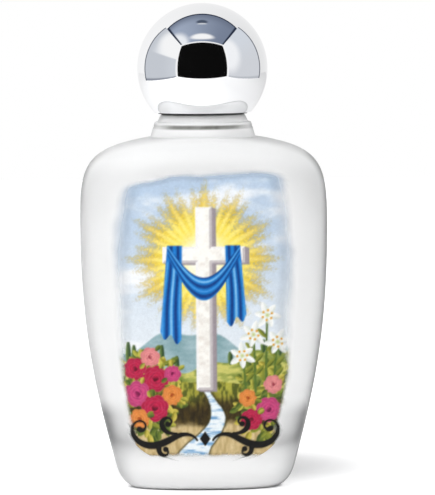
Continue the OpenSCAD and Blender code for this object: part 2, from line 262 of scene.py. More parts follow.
def cavity_rings():
    """Rings of the inside, from the bore down to the middle of the cavity's floor."""
    rings = [round_ring(BORE_R, z) for z in np.linspace(LIP_Z - 2, BODY_H + 0.5, 7)]
    for t in np.linspace(1, 0, 37):
        z, w, d = curve_at(CAVITY, t)
        rings.append(oval_ring(z, max(BORE_R, w), max(BORE_R, d), shoulder_n(t)))
    low = parameter_at(SIDE, FLOOR_T + CAVITY_HEEL)
    for t in np.linspace(1, low, 31)[1:]:
        z, w, d = curve_at(SIDE, t)
        rings.append(oval_ring(z, w - WALL, d - WALL))
    for a in np.radians(np.linspace(90, 0, 10))[1:]:
        z = FLOOR_T + CAVITY_HEEL * (1 - math.cos(a))
        w, d, n = body_section(z)
        inset = WALL + CAVITY_HEEL * (1 - math.sin(a))
        rings.append(oval_ring(z, w - inset, d - inset, n))
    w, d, n = body_section(FLOOR_T)
    inset = WALL + CAVITY_HEEL
    for s in (0.8, 0.55, 0.3, 0.08):
        rings.append(oval_ring(FLOOR_T, s * (w - inset), s * (d - inset), n))
    return rings


def film_half(z):
    drop = max(0.0, z - (FILM_TOP - FILM_CORNER), FILM_BOTTOM + FILM_CORNER - z)
    cut = FILM_CORNER - math.sqrt(max(0.0, FILM_CORNER**2 - drop**2))
    return body_section(z)[0] - FILM_MARGIN - cut


FILM_COLUMNS, FILM_ROWS, FILM_COARSE = 252, 360, 6
# The printed face lies this far inside its nominal place
FILM_SHY = 0.01


def film_grid(off, step):
    """Points of one face of the transfer, row by row, at a distance off the glass."""
    points = []
    for z in np.linspace(FILM_BOTTOM, FILM_TOP, FILM_ROWS // step + 1):
        w, d, n = body_section(z)
        x = film_half(z) * np.linspace(-1, 1, FILM_COLUMNS // step + 1)
        y = -(d + off) * (1 - (np.abs(x) / (w + off)) ** n) ** (1 / n)
        points.append(np.stack([x, y, np.full_like(x, z)], 1))
    return np.array(points)


def grid_faces(rows, columns, first=0, turned=False):
    a = np.arange(rows - 1)[:, None] * columns + np.arange(columns - 1)[None] + first
    quads = np.stack([a, a + 1, a + columns + 1, a + columns], -1).reshape(-1, 4)
    return (quads[:, ::-1] if turned else quads).tolist()


def rim_of(rows, columns, first):
    """Numbers of the points round a grid's edge, back to the first."""
    grid = first + np.arange(rows * columns).reshape(rows, columns)
    return np.concatenate([grid[0], grid[1:, -1], grid[-1, -2::-1], grid[-2::-1, 0]]).tolist()


def film_shape():
    """The transfer as a thin closed shell: a fine face in front, a coarse one behind, and an edge."""
    front, back = film_grid(FILM_GAP + FILM_T - FILM_SHY, 1), film_grid(FILM_GAP, FILM_COARSE)
    first = front.shape[0] * front.shape[1]
    points = np.concatenate([front.reshape(-1, 3), back.reshape(-1, 3)])
    faces = grid_faces(*front.shape[:2]) + grid_faces(*back.shape[:2], first, True)
    fine, coarse = rim_of(*front.shape[:2], 0), rim_of(*back.shape[:2], first)
    for k in range(len(coarse) - 1):
        beside = fine[k * FILM_COARSE : (k + 1) * FILM_COARSE + 1]
        faces.append(coarse[k : k + 2] + beside[::-1])
    return points, faces


def shell_profile():
    """Half section of the ball's shell: from the crown down the inside, round the rim, up the outside."""
    crown = BALL_R - SHELL_WALL
    mouth_z = BALL_Z - math.sqrt(crown**2 - MOUTH_R**2)
    first = math.degrees(math.asin((mouth_z - BALL_Z) / crown))
    profile = arc(0, BALL_Z, crown, 88, first, 40)
    profile += [(MOUTH_R, z) for z in np.linspace(mouth_z - 0.1, CAP_Z + 0.25, 4)]
    profile += arc(MOUTH_R + 0.2, CAP_Z + 0.2, 0.2, 180, 270, 5)
    low = math.degrees(math.asin((CAP_Z + 0.25 - BALL_Z) / BALL_R))
    edge_r = BALL_R * math.cos(math.radians(low))
    profile += [(edge_r - 0.3, CAP_Z), (edge_r - 0.16, CAP_Z + 0.03), (edge_r - 0.06, CAP_Z + 0.11)]
    return profile + arc(0, BALL_Z, BALL_R, low, 89, 84)


def liner_profile():
    """Half section of the foam disc: rounded edges, and the ring that the lip has pressed into it."""
    low, pressed, top = LIP_Z + 0.02, LIP_Z + 0.06, LIP_Z + LINER_T
    profile = [(0.4, low), (4.6, low), (5.1, pressed), (7.3, pressed), (7.9, low)]
    profile += arc(LINER_R - 0.25, low + 0.25, 0.25, 270, 360, 5)
    profile += arc(LINER_R - 0.2, top - 0.2, 0.2, 0, 90, 5)
    return profile + [(6.0, top), (3.0, top), (0.4, top)]


# The printed picture, painted as colours and ink on a grid of dots over the front of the flask. Lengths are
# millimetres, x across and z up. Colours are display values, up to 255 until the print is done.
DOTS_PER_MM, NOISE_POINTS = 10, 200
PRINT_LEFT, PRINT_RIGHT = -24.0, 24.0
DOT = 1 / DOTS_PER_MM
DOT_X, DOT_Z = np.meshgrid(
    np.arange(PRINT_LEFT, PRINT_RIGHT, DOT) + DOT / 2, np.arange(FILM_BOTTOM, FILM_TOP, DOT) + DOT / 2
)
DOT_RGB = np.full(DOT_X.shape + (3,), 255.0)
DOT_INK = np.zeros(DOT_X.shape)


def sampled(grid, i, j, s, t):
    """Values of a grid at shares of the way from its points to the next ones."""
    low = grid[j, i] * (1 - s) + grid[j, i + 1] * s
    high = grid[j + 1, i] * (1 - s) + grid[j + 1, i + 1] * s
    return low * (1 - t) + high * t


def noise(size_x, size_z, seed):
    grid = np.random.default_rng(seed).random((NOISE_POINTS, NOISE_POINTS))
    u, v = (DOT_X - PRINT_LEFT) / size_x, (DOT_Z - FILM_BOTTOM) / size_z
    i, j = u.astype(int), v.astype(int)
    s, t = smooth(0, 1, u - i), smooth(0, 1, v - j)
    return sampled(grid, i % (NOISE_POINTS - 1), j % (NOISE_POINTS - 1), s, t)


def fractal(size_x, size_z, seed, octaves=4):
    total = sum(noise(size_x / 2**k, size_z / 2**k, seed + k) / 2**k for k in range(octaves))
    return total / sum(1 / 2**k for k in range(octaves))


def around(x, z, reach):
    """The dots in a square round a point, and how far across and up from it each lies."""

    def span(value, start):
        first = int((value - reach - start) * DOTS_PER_MM)
        last = int((value + reach - start) * DOTS_PER_MM) + 1
        return slice(max(0, first), max(0, last))

    where = span(z, FILM_BOTTOM), span(x, PRINT_LEFT)
    return where, DOT_X[where] - x, DOT_Z[where] - z


def lay(mask, colour, where=...):
    rgb = DOT_RGB[where]
    rgb += (colour - rgb) * mask[..., None]
    DOT_INK[where] = 1 - (1 - DOT_INK[where]) * (1 - mask)


def between(first, second, share):
    """Colours on the way from one to another."""
    first = np.asarray(first)
    return first + (np.asarray(second) - first) * share[..., None]


def inside(distance, soft):
    """A mask of what lies inside an outline, from the distance outside it."""
    return smooth(soft, -soft, distance)


def paint_sky():
    colour = between((229, 236, 242), (180, 200, 222), smooth(30, 72, DOT_Z))
    cloud = smooth(0.5, 0.78, fractal(15, 6, 11, 5) + 0.07 * smooth(62, 40, DOT_Z))
    lay(np.ones_like(DOT_X), between(colour, (250, 251, 252), 0.85 * cloud))


RADIANCE_Z = 53.5


def paint_radiance():
    dz = DOT_Z - RADIANCE_Z
    r, turn = np.hypot(DOT_X, dz), np.arctan2(dz, DOT_X)
    rays = 0.5 + 0.5 * np.cos(36 * turn + 0.6 * np.sin(5 * turn))
    long_rays = 0.5 + 0.5 * np.cos(12 * turn)
    reach = 11.5 + 2.2 * rays + 2.4 * long_rays
    speckle = noise(0.24, 0.24, 23) - 0.5
    edge = smooth(reach + 2.8, reach - 3.6, r + 4.0 * speckle)
    warm = between((255, 252, 232), (250, 226, 86), smooth(2.5, 8.0, r + speckle))
    warm = between(warm, (214, 172, 36), smooth(8.0, 13.5, r + 3 * speckle))
    warm = between(warm, (255, 246, 170), 0.5 * rays * smooth(4, 9, r))
    warm = between(warm, (126, 92, 18), 0.8 * smooth(reach - 2.5, reach + 2.0, r + 5 * speckle))
    lay(0.97 * edge, warm)


CYPRESSES, CYPRESS_HALF = (-17.4, -16.1, -11.2, -9.7, -6.3, 5.9, 8.6, 13.4, 17.2), 0.62


def field_line(x):
    return 30.2 + 2.2 * np.sin(0.13 * x - 0.6) + 0.7 * np.sin(0.6 * x + 1)


def paint_hills():
    far = 34.5 + 2.6 * np.sin(0.17 * DOT_X + 2.2) + 0.9 * np.sin(0.47 * DOT_X)
    haze = fractal(3, 1.2, 31)
    lay(inside(DOT_Z - far, 0.25), between((176, 200, 206), (116, 152, 158), haze))
    edge = field_line(DOT_X)
    patches = smooth(0.35, 0.68, fractal(2.6, 1.0, 37))
    lay(inside(DOT_Z - edge, 0.2), between((126, 142, 62), (206, 202, 110), patches))
    for x in CYPRESSES:
        paint_cypress(x, field_line(x) - 0.6, 4.4 + 1.4 * math.sin(5 * x))


def paint_cypress(x, foot, height):
    where, dx, dz = around(x, foot + height / 2, height / 2 + 1)
    up = dz / height + 0.5
    half = CYPRESS_HALF * np.sqrt(np.clip(up * (1.05 - up) * 3.2, 0, None))
    mask = inside(np.abs(dx) - half, 0.12) * (up > 0) * (up < 1)
    lit = smooth(0.5, -0.9, dx / CYPRESS_HALF)
    lay(mask, between((48, 74, 44), (112, 138, 66), lit), where)


def paint_ground():
    top = 25.6 - 0.011 * DOT_X**2 + 1.2 * (fractal(2.4, 2.4, 41) - 0.5)
    tufts = fractal(0.5, 1.6, 43, 3)
    colour = between((84, 92, 30), (176, 172, 66), smooth(0.36, 0.68, tufts))
    level = DOT_Z + 4 * (fractal(5, 3, 47) - 0.5)
    bank = between((26, 20, 8), (92, 74, 28), tufts)
    sand = between((176, 148, 94), (232, 214, 168), tufts)
    colour = between(colour, bank, smooth(24, 19, level))
    colour = between(colour, sand, smooth(16.8, 14.6, level))
    lay(inside(DOT_Z - top, 0.2), colour)


def paint_stream():
    down = np.clip((24.4 - DOT_Z) / 16, 0, 1)
    line = 3.4 * np.sin(4.6 * down) * (0.3 + down) + 1.6 * down
    half = 0.55 + 3.1 * down**1.3 + 0.5 * (fractal(1.5, 1.5, 53) - 0.5)
    off = np.abs(DOT_X - line) - half
    there = smooth(24.8, 24.2, DOT_Z)
    lay(0.75 * smooth(0.7, 0.0, off) * there, (58, 52, 26))
    ripple = smooth(0.32, 0.62, fractal(2.6, 0.45, 59, 3) + 0.1 * (1 - down))
    lay(smooth(0.12, -0.25, off) * there, between((116, 164, 206), (240, 248, 252), ripple))


CROSS_FOOT, CROSS_TOP, CROSS_ARM_Z = 23.6, 65.5, 54.6
CROSS_ARM_HALF, CROSS_HALF, CROSS_SOFT = 9.4, 1.85, 0.06


def cross_distance(dx=0.0, dz=0.0):
    """How far each dot lies outside a plain Latin cross, less than zero inside it."""
    x, z = np.abs(DOT_X - dx), DOT_Z - dz
    middle, reach = (CROSS_FOOT + CROSS_TOP) / 2, (CROSS_TOP - CROSS_FOOT) / 2
    upright = np.maximum(x - CROSS_HALF, np.abs(z - middle) - reach)
    arms = np.maximum(x - CROSS_ARM_HALF, np.abs(z - CROSS_ARM_Z) - CROSS_HALF)
    return np.minimum(upright, arms)


def paint_cross():
    layers = 8
    for k in range(layers):
        back = 1 - k / layers
        lay(inside(cross_distance(back, -0.45 * back), CROSS_SOFT), np.array((150, 140, 146)) + 1.53 * k)
    d = cross_distance()
    stone = smooth(0.2, 0.75, fractal(1.3, 1.3, 61, 4) + 0.2 * smooth(30, 60, DOT_Z))
    lay(inside(d, CROSS_SOFT), between((228, 222, 214), (252, 250, 244), stone))
    slope_z, slope_x = np.gradient(d, DOT)
    lit = 0.5 - 0.5 * (0.75 * slope_x - 0.66 * slope_z)
    bevel = smooth(-0.62, -0.5, d) * inside(d, CROSS_SOFT)
    lay(0.8 * bevel, between((176, 166, 170), (255, 255, 253), lit))


def lay_cloth(mask, fold):
    colour = between((10, 62, 132), (24, 122, 204), smooth(0.0, 0.55, fold))
    lay(mask, between(colour, (150, 204, 240), 0.85 * smooth(0.68, 1.0, fold)))


# The cloth over the arms: the side and height of its two hems, and half the width of its sling
HEMS, SLING_HALF = ((-1, 35.5), (1, 39.5)), 8.2


def paint_drape():
    arm_top = CROSS_ARM_Z + CROSS_HALF + 0.25
    hang = arm_top - DOT_Z
    for side, low in HEMS:
        middle, half = side * (6.6 + 0.05 * hang), 1.7 + 0.035 * hang
        across = (DOT_X - middle) / half
        hem = low + 0.8 * np.cos(5.5 * across) + 0.9 * side * across
        mask = inside(np.abs(DOT_X - middle) - half, 0.08) * inside(hem - DOT_Z, 0.1) * inside(-hang, 0.12)
        fold = 0.5 + 0.5 * np.cos(7.2 * across + 0.5 * np.sin(0.35 * DOT_Z + side))
        shade = np.clip(0.55 + 0.45 * smooth(2.1, 4.0, hang), 0.7, 1)
        lay_cloth(mask, np.clip(fold * (0.75 + 0.25 * np.cos(1.4 * across)), 0, 1) * shade)
    u = np.clip((DOT_X + SLING_HALF) / (2 * SLING_HALF), 0, 1)
    sag = np.sin(math.pi * u)
    upper = arm_top + 0.1 - 7.4 * sag
    lower = upper - 2.6 - 2.6 * sag
    share = (DOT_Z - lower) / (upper - lower)
    mask = inside(np.maximum(DOT_Z - upper, lower - DOT_Z), 0.08) * (np.abs(DOT_X) < SLING_HALF)
    fold = 0.5 + 0.5 * np.cos(15 * share + 1.2 * u)
    lay_cloth(mask, np.clip(fold * (0.72 + 0.28 * share), 0, 1))


def polar(x, z, reach, angle):
    return x + reach * math.cos(angle), z + reach * math.sin(angle)


def paint_leaf(x, z, length, width, angle, dark, light):
    where, dx, dz = around(x, z, length)
    c, s = math.cos(angle), math.sin(angle)
    along, side = (dx * c + dz * s) / length, (-dx * s + dz * c) / width
    body = np.clip(along * (1 - along) * 4, 0, None) ** 0.75
    mask = inside(np.abs(side) - body, 0.12) * ((along > 0) & (along < 1))
    colour = between(dark, light, np.clip(0.45 + 0.45 * side + 0.25 * along, 0, 1))
    lay(mask, between(colour, light, 0.8 * smooth(0.16, 0.04, np.abs(side))), where)


def paint_petal(x, z, reach, angle, dark, light):
    where, dx, dz = around(x, z, 1.3 * reach)
    r = np.hypot(dx, dz) / reach
    out = (dx * math.cos(angle) + dz * math.sin(angle)) / reach
    lay(smooth(1.04, 0.94, r), between(dark, light, smooth(-0.9, 0.75, out)), where)
    lay(0.6 * smooth(0.12, 0.0, np.abs(r - 0.96)) * (out > -0.2), light + 0.18 * (255 - light), where)


# A rose's petals, ring by ring from the outside: how many, how far out, and how large
ROSE_RINGS = ((7, 0.6, 0.5), (6, 0.42, 0.46), (5, 0.24, 0.4), (3, 0.1, 0.28))


def paint_rose(x, z, reach, tones):
    dark, light = np.array(tones)
    for ring, (count, out, size) in enumerate(ROSE_RINGS):
        for k in range(count):
            angle = math.tau * (k + 0.37 * ring) / count + x
            lit = dark + (light - dark) * (0.75 + 0.08 * ring)
            paint_petal(*polar(x, z, out * reach, angle), size * reach, angle, dark, lit)
    where, dx, dz = around(x, z, 0.4 * reach)
    r, turn = np.hypot(dx, dz) / reach, np.arctan2(dz, dx)
    spiral = smooth(0.25, 0.0, np.abs(np.sin(1.5 * turn + 14 * r)))
    lay(0.8 * spiral * smooth(0.3, 0.22, r), 0.6 * dark, where)


def paint_lily(x, z, reach, turn):
    for k in (1, 3, 5, 0, 2, 4):
        length = reach * (1 if k % 2 else 0.9)
        paint_leaf(x, z, length, reach * 0.22, turn + k * math.pi / 3, *LILY_WHITE)
    for k in range(6):
        angle = turn + (k + 0.5) * math.pi / 3
        paint_stroke([polar(x, z, 0.34 * reach, angle)], [0.26], (226, 160, 30))
    where, dx, dz = around(x, z, 1)
    lay(0.8 * smooth(0.7, 0.1, np.hypot(dx, dz)), (190, 200, 110), where)


def paint_stroke(points, widths, colour):
    for (x, z), w in zip(points, widths):
        where, dx, dz = around(x, z, w + 0.3)
        lay(inside(np.hypot(dx, dz) - w, 0.07), colour, where)


GREENS = (
    ((58, 76, 22), (156, 160, 58)),
    ((84, 96, 24), (206, 196, 84)),
    ((40, 60, 24), (118, 134, 52)),
    ((110, 104, 22), (226, 208, 96)),
)
CRIMSON = ((92, 8, 34), (202, 34, 76))
MAGENTA = ((110, 16, 62), (214, 74, 130))
ORANGE = ((160, 62, 20), (236, 150, 70))
PINK = ((150, 48, 62), (238, 152, 150))
LILY_WHITE = ((206, 214, 208), (255, 255, 253))
# The roses of the two bushes: place, size and tones
LEFT_ROSES = (
    (-15.9, 28.4, 2.4, CRIMSON), (-12.4, 31.2, 2.1, PINK), (-11.2, 26.2, 2.8, CRIMSON),
    (-15.4, 22.6, 2.8, MAGENTA), (-7.4, 22.4, 2.2, ORANGE), (-11.4, 19.4, 2.9, CRIMSON),
    (-7.3, 27.4, 1.8, MAGENTA), (-15.0, 16.8, 2.2, ORANGE),
)
RIGHT_ROSES = (
    (14.6, 18.8, 2.7, MAGENTA), (10.6, 16.6, 2.3, CRIMSON), (15.6, 24.6, 2.0, PINK),
    (9.8, 21.6, 1.9, ORANGE),
)
# Each lily: where its stem starts, how high its flower is, how far it leans, and the flower's turn
LILIES = ((11.6, 36.2, -0.4, 0.3), (14.0, 40.6, 0.4, 0.9), (15.9, 34.4, 0.8, 0.1), (9.4, 31.4, -0.8, 0.6))
LILY_FOOT, LILY_REACH = 22.0, 3.3
# Middle and half sizes of the two bushes
LEFT_BUSH, RIGHT_BUSH = ((-12.6, 22.6), (6.6, 9.2)), ((13.2, 21.0), (5.6, 8.6))


def paint_bush(middle, reach, leaves, roses, seed):
    rng = np.random.default_rng(seed)
    for _ in range(leaves):
        turn, out = rng.uniform(0, math.tau), math.sqrt(rng.uniform())
        dx, dz = reach[0] * out * math.cos(turn), reach[1] * out * math.sin(turn)
        angle = math.atan2(dz + 2.5, dx) + 0.8 * rng.normal()
        length = rng.uniform(1.8, 3.2)
        green = GREENS[rng.integers(len(GREENS))]
        paint_leaf(middle[0] + dx, middle[1] + dz, length, 0.26 * length, angle, *green)
    for x, z, size, tones in roses:
        paint_rose(x, z, size, tones)
        for _ in range(3):
            angle = rng.uniform(0, math.tau)
            paint_leaf(*polar(x, z, 0.9 * size, angle), 1.7, 0.5, angle, *GREENS[rng.integers(len(GREENS))])


def paint_garden():
    paint_bush(*LEFT_BUSH, 150, LEFT_ROSES, 71)
    paint_bush(*RIGHT_BUSH, 130, (), 73)
    t = np.linspace(0, 1, 60)
    for x, head, lean, turn in LILIES:
        rise = head - LILY_FOOT
        paint_stroke(zip(x + lean * t * t, LILY_FOOT + rise * t), 0.32 - 0.1 * t, (86, 112, 46))
        for k, side in ((0.35, 1), (0.55, 1), (0.72, -1)):
            angle = math.pi / 2 - 0.75 * side
            paint_leaf(x + lean * k * k, LILY_FOOT + rise * k, 3.0, 0.5, angle, *GREENS[0])
        paint_lily(x + lean, head, LILY_REACH, turn)
    paint_bush(*RIGHT_BUSH, 0, RIGHT_ROSES, 79)


# Strokes of the scroll: the start, the heading, lengths with the bend reached at the end of each, and the
# thickest half width. The whole is then enlarged round its middle.
SCROLL = (
    (
        (1.5, 12.0), 62,
        ((0.01, -0.5), (3.2, -0.28), (2.4, 0.0), (3.4, 0.2), (4.0, 0.3), (3.6, 0.62), (4.2, 1.5)), 0.8,
    ),
    ((5.4, 13.4), -12, ((0.01, 0.3), (2.6, 0.5), (2.6, 0.95), (2.6, 2.0)), 0.56),
    ((7.6, 12.2), -34, ((0.01, -0.2), (1.8, -0.5), (2.0, -1.0), (2.2, -2.1)), 0.54),
)
SCROLL_MIDDLE, SCROLL_SCALE, SCROLL_THIN = 12.3, 1.2, 0.2


def scroll_points(start, heading, bends, step=0.06):
    (x, z), turn = start, math.radians(heading)
    points, bend = [], 0.0
    for length, reached in bends:
        count = max(1, round(length / step))
        first = bend
        for k in range(count):
            bend = first + (reached - first) * (k + 1) / count
            turn += bend * length / count
            x += math.cos(turn) * length / count
            z += math.sin(turn) * length / count
            points.append((x, z))
    middle = (0.0, SCROLL_MIDDLE)
    return middle + SCROLL_SCALE * (np.array(points) - middle)


def paint_scroll():
    ink = (14, 12, 10)
    for start, heading, bends, thick in SCROLL:
        points = scroll_points(start, heading, bends)
        t = np.linspace(0, 1, len(points))
        swell = np.sin(math.pi * np.minimum(1, 1.25 * t)) ** 1.4
        widths = SCROLL_THIN + (thick - SCROLL_THIN) * swell + 0.4 * smooth(0.93, 1, t)
        for side in (-1, 1):
            paint_stroke(points * (side, 1), widths, ink)
    where, dx, dz = around(0, SCROLL_MIDDLE, 2.5)
    lay(inside(np.abs(dx) + 0.7 * np.abs(dz) - 1.2, 0.1), ink, where)


def fade_edges(rng):
    """Lets the print run out: softly round the sky, and speckled round the garden."""
    ragged = 1.6 * (fractal(6, 6, 83, 3) - 0.5)
    grain = rng.random(DOT_X.shape)
    high = smooth(26, 40, DOT_Z)
    half = 24.0 - 6.5 * smooth(48, 6, DOT_Z) - 2.2 * smooth(60, 74, DOT_Z)
    side = half - 0.8 - 2.0 * high - np.abs(DOT_X) + ragged
    top, low = 73.7 - DOT_Z - 0.004 * (DOT_X - 8) ** 2 + 0.6 * ragged, DOT_Z - 7.8 + 0.4 * ragged
    soft = smooth(0, 2.6 + 2.6 * high, side) * smooth(0, 2.2, top) * smooth(0, 1.6, low)
    speckled = smooth(grain - 0.35, grain + 0.35, soft * 1.7 - 0.35)
    DOT_INK[:] *= speckled + (soft - speckled) * high


def paint_print():
    rng = np.random.default_rng(7)
    for paint in (paint_sky, paint_radiance, paint_hills, paint_ground, paint_stream, paint_cross):
        paint()
    paint_drape()
    paint_garden()
    fade_edges(rng)
    paint_scroll()
    speck = 0.055 * (rng.random(DOT_X.shape) - 0.5) + 0.05 * (fractal(0.4, 0.4, 97, 2) - 0.5)
    DOT_RGB[:] = np.clip(DOT_RGB / 255 + speck[..., None], 0, 1)


def add(near, kind, inputs=None, **settings):
    """A new node beside a socket or in a tree. An input is a value or another node's output."""
    tree = near.id_data
    made = tree.nodes.new("ShaderNode" + kind)
    for name, value in settings.items():
        setattr(made, name, value)
    for name, value in (inputs or {}).items():
        if isinstance(value, bpy.types.NodeSocket):
            tree.links.new(value, made.inputs[name])
        else:
            made.inputs[name].default_value = value
    return made


def new_material(name):
    """A new material, and the place on the object for its textures."""
    made = bpy.data.materials.new(name)
    made.use_nodes = True
    made.node_tree.nodes.clear()
    return made, add(made.node_tree, "TexCoord").outputs["Object"]


def finish_material(made, shader):
    add(made.node_tree, "OutputMaterial", {"Surface": shader.outputs[0]})
    return made


def principled(made, inputs):
    return finish_material(made, add(made.node_tree, "BsdfPrincipled", inputs))


def math_node(operation, first, second=0.0):
    return add(first, "Math", {0: first, 1: second}, operation=operation).outputs[0]


def times(first, second):
    return math_node("MULTIPLY", first, second)


def ranged(value, from_min, from_max, to_min, to_max, soft=False):
    """A value carried from one range to another and held at its ends."""
    ends = {"From Min": from_min, "From Max": from_max, "To Min": to_min, "To Max": to_max}
    kind = "SMOOTHSTEP" if soft else "LINEAR"
    return add(value, "MapRange", {"Value": value, **ends}, interpolation_type=kind).outputs[0]


def by_length(length, start, end, low, high):
    """A value that changes softly between two lengths, which are given in millimetres."""
    return ranged(length, start * MM, end * MM, low, high, True)


def noise_value(place, scale, low=0.0, high=1.0, detail=2.0):
    """A noise at this scale, spread from one value to another."""
    made = add(place, "TexNoise", {"Vector": place, "Scale": scale, "Detail": detail})
    return ranged(made.outputs[0], 0.3, 0.7, low, high)


def mixed(share, first, second):
    """A colour between two others."""
    return add(share, "Mix", {"Factor": share, 6: first, 7: second}, data_type="RGBA").outputs[2]


def bumped(height, strength, distance):
    """Normals of a fine relief, with its full height in millimetres."""
    inputs = {"Height": height, "Strength": strength, "Distance": distance * MM}
    return add(height, "Bump", inputs).outputs[0]


def axes_of(place):
    return add(place, "SeparateXYZ", {"Vector": place}).outputs


# The glass's own colour, and the dark of the shade painted on its rims
GLASS_COLOUR, RIM_SHADE_COLOUR = (0.995, 0.998, 0.998, 1.0), (0.05, 0.052, 0.055, 1.0)
# The dark of the shade painted in the mould joint and on the ring under the cap
PAINTED_SHADE_COLOUR = (0.14, 0.142, 0.125, 1.0)
GLASS_IOR = 1.36
# Half heights in millimetres of the painted shade in the joint of the moulds and on the ring under the cap.
# In the joint it thins to a share, between two shares of the collar's radius
JOINT_SHADE_HALF, RING_SHADE_HALF, JOINT_SHADE_FROM, JOINT_SHADE_TO, JOINT_SHADE_SIDE = 0.72, 0.2, 0.5, 0.85, 0.35
# How dark the painted shade turns the glass where it is seen along its wall: on its left, there on the
# shoulder, and on its right; and how much of that stays near the collar. Heights in millimetres of these
# changes
EDGE_LEFT, EDGE_LEFT_TOP, EDGE_RIGHT, EDGE_TOP = 0.13, 0.6, 0.9, 0.45
LEFT_RISE, TOP_RISE = (60, 70), (75, 79)
# How dark a band of painted shade near the cavity's floor is, with its height and half height in
# millimetres, and how dark the painted shade makes the sides of the base below it, between two shares of
# the base's width
EDGE_LOW, EDGE_LOW_Z, EDGE_LOW_HALF = 0.85, 14.6, 7.0
EDGE_BASE, BASE_FROM, BASE_TO = 0.42, 0.35, 0.48
# How much light the frosted glass lets through at the thick base, on the sides, and on the shoulder and
# neck, with the heights in millimetres of the changes
CLEAR_BASE, CLEAR_SIDE, CLEAR_TOP = 0.1, 0.56, 0.32
CLEAR_LOW, CLEAR_HIGH = (5, 14), (70, 78)


def painted_shade_line(z, middle, half):
    off = math_node("ABSOLUTE", math_node("SUBTRACT", z, middle * MM))
    return by_length(off, 0.3 * half, half, 1.0, 0.0)


def painted_shade_share(place, axes):
    """How much painted shade lies on the glass, with less of it at the sides of the collar."""
    out = math_node("ABSOLUTE", axes["X"])
    side = by_length(out, JOINT_SHADE_FROM * COLLAR_R, JOINT_SHADE_TO * COLLAR_R, 1.0, JOINT_SHADE_SIDE)
    joint = times(painted_shade_line(axes["Z"], JOINT_Z, JOINT_SHADE_HALF), side)
    lines = math_node("MAXIMUM", joint, painted_shade_line(axes["Z"], RING_TOP, RING_SHADE_HALF))
    return times(lines, noise_value(place, 350.0, 0.84, 1.0))


def painted_rim_shade(axes):
    """How much painted shade darkens the glass, from the angle at which its face is seen."""
    facing = add(axes["X"], "LayerWeight", {"Blend": 0.5}).outputs["Facing"]
    left = by_length(axes["Z"], *LEFT_RISE, EDGE_LEFT, EDGE_LEFT_TOP)
    side = ranged(axes["X"], -0.4 * BODY_W * MM, 0.4 * BODY_W * MM, left, EDGE_RIGHT)
    side = times(side, by_length(axes["Z"], *TOP_RISE, 1.0, EDGE_TOP))
    thin = times(ranged(facing, 0.55, 0.95, 0.0, 1.0, True), side)
    off = math_node("SUBTRACT", axes["Z"], EDGE_LOW_Z * MM)
    over = by_length(off, 0.3 * EDGE_LOW_HALF, EDGE_LOW_HALF, EDGE_LOW, 0.0)
    out = math_node("ABSOLUTE", axes["X"])
    rim = by_length(out, BASE_FROM * BASE_W, BASE_TO * BASE_W, 0.0, EDGE_BASE)
    under = by_length(off, -EDGE_LOW_HALF, -0.3 * EDGE_LOW_HALF, rim, EDGE_LOW)
    wide = times(ranged(facing, 0.08, 0.7, 0.0, 1.0), math_node("MINIMUM", over, under))
    return math_node("MAXIMUM", thin, wide)


def frosted_glass():
    """Acid-frosted glass, with painted shade in the joint of the moulds, on the edge under the cap and on
    its rims.
    """
    made, place = new_material("frosted_glass")
    axes = axes_of(place)
    # Painted shade in the mould joint and under the cap darkens the glass and lets less light through
    painted_shade = painted_shade_share(place, axes)
    low = by_length(axes["Z"], *CLEAR_LOW, CLEAR_BASE, CLEAR_SIDE)
    clearness = by_length(axes["Z"], *CLEAR_HIGH, low, CLEAR_TOP)
    return principled(made, {
        # Painted shade on the rims, and in the joint and under the cap, darkens the base colour
        "Base Color": mixed(painted_shade, mixed(painted_rim_shade(axes), GLASS_COLOUR, RIM_SHADE_COLOUR), PAINTED_SHADE_COLOUR),
        "Roughness": noise_value(place, 140.0, 0.34, 0.42),
        "IOR": GLASS_IOR,
        "Transmission Weight": times(clearness, ranged(painted_shade, 0.0, 1.0, 1.0, 0.2)),
        "Normal": bumped(noise_value(place, 5200.0, detail=3.0), 0.35, 0.02),
    })


def clear_glass():
    made, place = new_material("clear_glass_inside")
    return principled(made, {
        "Base Color": GLASS_COLOUR,
        "Roughness": noise_value(place, 300.0, 0.03, 0.07),
        "IOR": GLASS_IOR,
        "Transmission Weight": 1.0,
        "Normal": bumped(noise_value(place, 110.0), 0.25, 0.4),
    })


def printed_film():
    made, place = new_material("printed_transfer")
    printed = add(place, "VertexColor", layer_name="print").outputs
    grained = {"Factor": 1.0, 6: printed["Color"], 7: noise_value(place, 9000.0, 0.94, 1.04, 1.0)}
    return principled(made, {
        "Base Color": add(place, "Mix", grained, data_type="RGBA", blend_type="MULTIPLY").outputs[2],
        "Roughness": noise_value(place, 700.0, 0.4, 0.55),
        "Specular IOR Level": 0.2,
        "Alpha": printed["Alpha"],
    })


def mirror_chrome():
    made, place = new_material("mirror_chrome")
    return principled(made, {
        "Base Color": (0.90, 0.905, 0.915, 1.0),
        "Metallic": 1.0,
        "Roughness": noise_value(place, 90.0, 0.015, 0.05, 4.0),
    })


def dark_plastic():
    made, place = new_material("dark_plastic")
    cloudy = add(place, "TexNoise", {"Vector": place, "Scale": 160.0, "Detail": 3.0}).outputs[0]
    return principled(made, {
        "Base Color": mixed(cloudy, (0.018, 0.018, 0.019, 1.0), (0.03, 0.03, 0.031, 1.0)),
        "Roughness": noise_value(place, 400.0, 0.32, 0.5),
        "Normal": bumped(noise_value(place, 3000.0), 0.2, 0.03),
    })


def seal_foam():
    made, place = new_material("seal_foam")
    cells = add(place, "TexVoronoi", {"Vector": place, "Scale": 3200.0}).outputs["Distance"]
    return principled(made, {
        "Base Color": mixed(cells, (0.86, 0.86, 0.83, 1.0), (0.74, 0.74, 0.70, 1.0)),
        "Roughness": noise_value(place, 900.0, 0.75, 0.95),
        "Normal": bumped(cells, 0.5, 0.08),
    })


def linear(colour):
    return np.where(colour <= 0.04045, colour / 12.92, ((colour + 0.055) / 1.055) ** 2.4)


